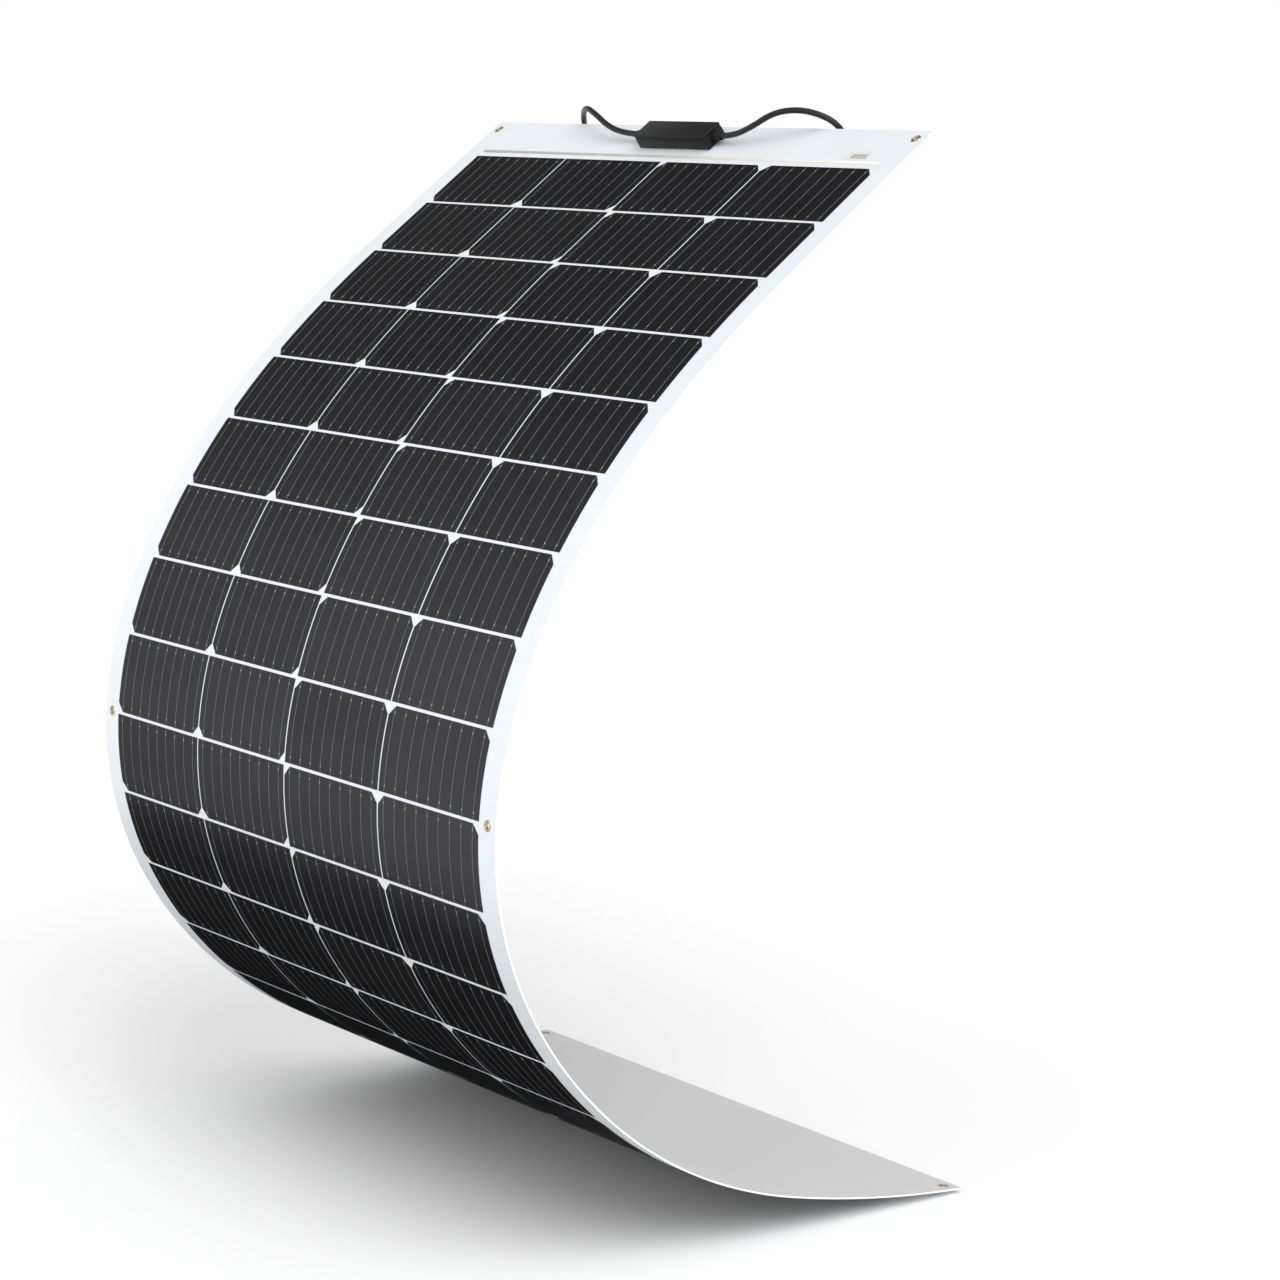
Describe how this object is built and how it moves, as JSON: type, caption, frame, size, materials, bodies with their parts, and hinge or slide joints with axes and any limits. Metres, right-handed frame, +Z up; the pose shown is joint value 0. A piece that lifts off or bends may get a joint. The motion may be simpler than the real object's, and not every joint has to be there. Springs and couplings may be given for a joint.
{
  "type": "flexible solar panel",
  "caption": "Thin flexible solar panel curved into a wave: white board with dark half cells, brass eyelets, a slim junction box and two leads.",
  "frame": {"origin": "midpoint of the two top eyelets, on the board's back face", "axes": "+X across the sheet towards the right edge, +Z up; the cells face -Y at mid height and the sheet hangs down from the origin"},
  "size_m": [0.693, 0.5606, 1.0554],
  "materials": {
    "board": "satin white laminate under a clear film",
    "cell": "dark blue-black half cells with fine silver lines, under clear film",
    "ribbon": "tinned copper ribbon",
    "label": "plain label",
    "brass": "pressed brass",
    "black": "moulded black plastic",
    "cable": "black cable jacket",
    "pad": "foam adhesive",
    "potting": "sealing compound",
    "tin": "tinned metal",
    "diode": "black diode body"
  },
  "bodies": {
    "length_01": {"sheet_01": "board", "cells_01": "cell", "bus_ribbon_top": "ribbon", "rating_label": "label", "eyelets_top": "brass", "washers_top": "brass", "adhesive_pad": "pad", "box_base": "black", "box_lid": "black", "box_potting": "potting", "terminal_plates": "tin", "bypass_diodes": "diode", "cable_outlet_left": "black", "cable_outlet_right": "black", "cable_left": "cable", "cable_coil_left": "cable", "coil_tie_left": "black", "connector_cap_left": "black", "connector_body_left": "black", "connector_contact_left": "tin", "cable_right": "cable", "cable_coil_right": "cable", "coil_tie_right": "black", "connector_cap_right": "black", "connector_body_right": "black", "connector_contact_right": "tin"},
    "length_02": {"sheet_02": "board", "cells_02": "cell"},
    "length_03": {"sheet_03": "board", "cells_03": "cell"},
    "length_04": {"sheet_04": "board", "cells_04": "cell"},
    "length_05": {"sheet_05": "board", "cells_05": "cell"},
    "length_06": {"sheet_06": "board", "cells_06": "cell", "eyelets_middle": "brass", "washers_middle": "brass"},
    "length_07": {"sheet_07": "board", "cells_07": "cell"},
    "length_08": {"sheet_08": "board", "cells_08": "cell"},
    "length_09": {"sheet_09": "board", "cells_09": "cell"},
    "length_10": {"sheet_10": "board", "cells_10": "cell"},
    "length_11": {"sheet_11": "board", "cells_11": "cell"},
    "length_12": {"sheet_12": "board", "cells_12": "cell"},
    "length_13": {"sheet_13": "board", "cells_13": "cell"},
    "length_14": {"sheet_14": "board", "cells_14": "cell", "bus_ribbon_bottom": "ribbon", "eyelets_bottom": "brass", "washers_bottom": "brass"}
  },
  "joints": [
    {"name": "bend_01", "type": "hinge", "parent": "length_01", "child": "length_02", "pos_m": [0, -0.17032, -0.12251], "axis": [1, 0, 0], "range_deg": [-3.75, 2.72]},
    {"name": "bend_02", "type": "hinge", "parent": "length_02", "child": "length_03", "pos_m": [0, -0.29693, -0.22781], "axis": [1, 0, 0], "range_deg": [-10.01, 7.26]},
    {"name": "bend_03", "type": "hinge", "parent": "length_03", "child": "length_04", "pos_m": [0, -0.4032, -0.35334], "axis": [1, 0, 0], "range_deg": [-10.01, 7.26]},
    {"name": "bend_04", "type": "hinge", "parent": "length_04", "child": "length_05", "pos_m": [0, -0.44469, -0.42447], "axis": [1, 0, 0], "range_deg": [-8.51, 6.17]},
    {"name": "bend_05", "type": "hinge", "parent": "length_05", "child": "length_06", "pos_m": [0, -0.47519, -0.50092], "axis": [1, 0, 0], "range_deg": [-11.01, 7.99]},
    {"name": "bend_06", "type": "hinge", "parent": "length_06", "child": "length_07", "pos_m": [0, -0.49052, -0.58171], "axis": [1, 0, 0], "range_deg": [-13.76, 9.98]},
    {"name": "bend_07", "type": "hinge", "parent": "length_07", "child": "length_08", "pos_m": [0, -0.48622, -0.66377], "axis": [1, 0, 0], "range_deg": [-14.76, 10.71]},
    {"name": "bend_08", "type": "hinge", "parent": "length_08", "child": "length_09", "pos_m": [0, -0.46117, -0.74203], "axis": [1, 0, 0], "range_deg": [-13.26, 9.62]},
    {"name": "bend_09", "type": "hinge", "parent": "length_09", "child": "length_10", "pos_m": [0, -0.41881, -0.81254], "axis": [1, 0, 0], "range_deg": [-11.26, 8.17]},
    {"name": "bend_10", "type": "hinge", "parent": "length_10", "child": "length_11", "pos_m": [0, -0.36348, -0.87344], "axis": [1, 0, 0], "range_deg": [-10.26, 7.45]},
    {"name": "bend_11", "type": "hinge", "parent": "length_11", "child": "length_12", "pos_m": [0, -0.29819, -0.92354], "axis": [1, 0, 0], "range_deg": [-9.76, 7.08]},
    {"name": "bend_12", "type": "hinge", "parent": "length_12", "child": "length_13", "pos_m": [0, -0.22535, -0.96186], "axis": [1, 0, 0], "range_deg": [-9.01, 6.54]},
    {"name": "bend_13", "type": "hinge", "parent": "length_13", "child": "length_14", "pos_m": [0, -0.1474, -0.98833], "axis": [1, 0, 0], "range_deg": [-9.01, 6.54]}
  ],
  "couplings": [
    {"joint": "bend_02", "follows": "bend_01", "ratio": 2.6667},
    {"joint": "bend_03", "follows": "bend_01", "ratio": 2.6667},
    {"joint": "bend_04", "follows": "bend_01", "ratio": 2.2667},
    {"joint": "bend_05", "follows": "bend_01", "ratio": 2.9333},
    {"joint": "bend_06", "follows": "bend_01", "ratio": 3.6667},
    {"joint": "bend_07", "follows": "bend_01", "ratio": 3.9333},
    {"joint": "bend_08", "follows": "bend_01", "ratio": 3.5333},
    {"joint": "bend_09", "follows": "bend_01", "ratio": 3},
    {"joint": "bend_10", "follows": "bend_01", "ratio": 2.7333},
    {"joint": "bend_11", "follows": "bend_01", "ratio": 2.6},
    {"joint": "bend_12", "follows": "bend_01", "ratio": 2.4},
    {"joint": "bend_13", "follows": "bend_01", "ratio": 2.4}
  ]
}
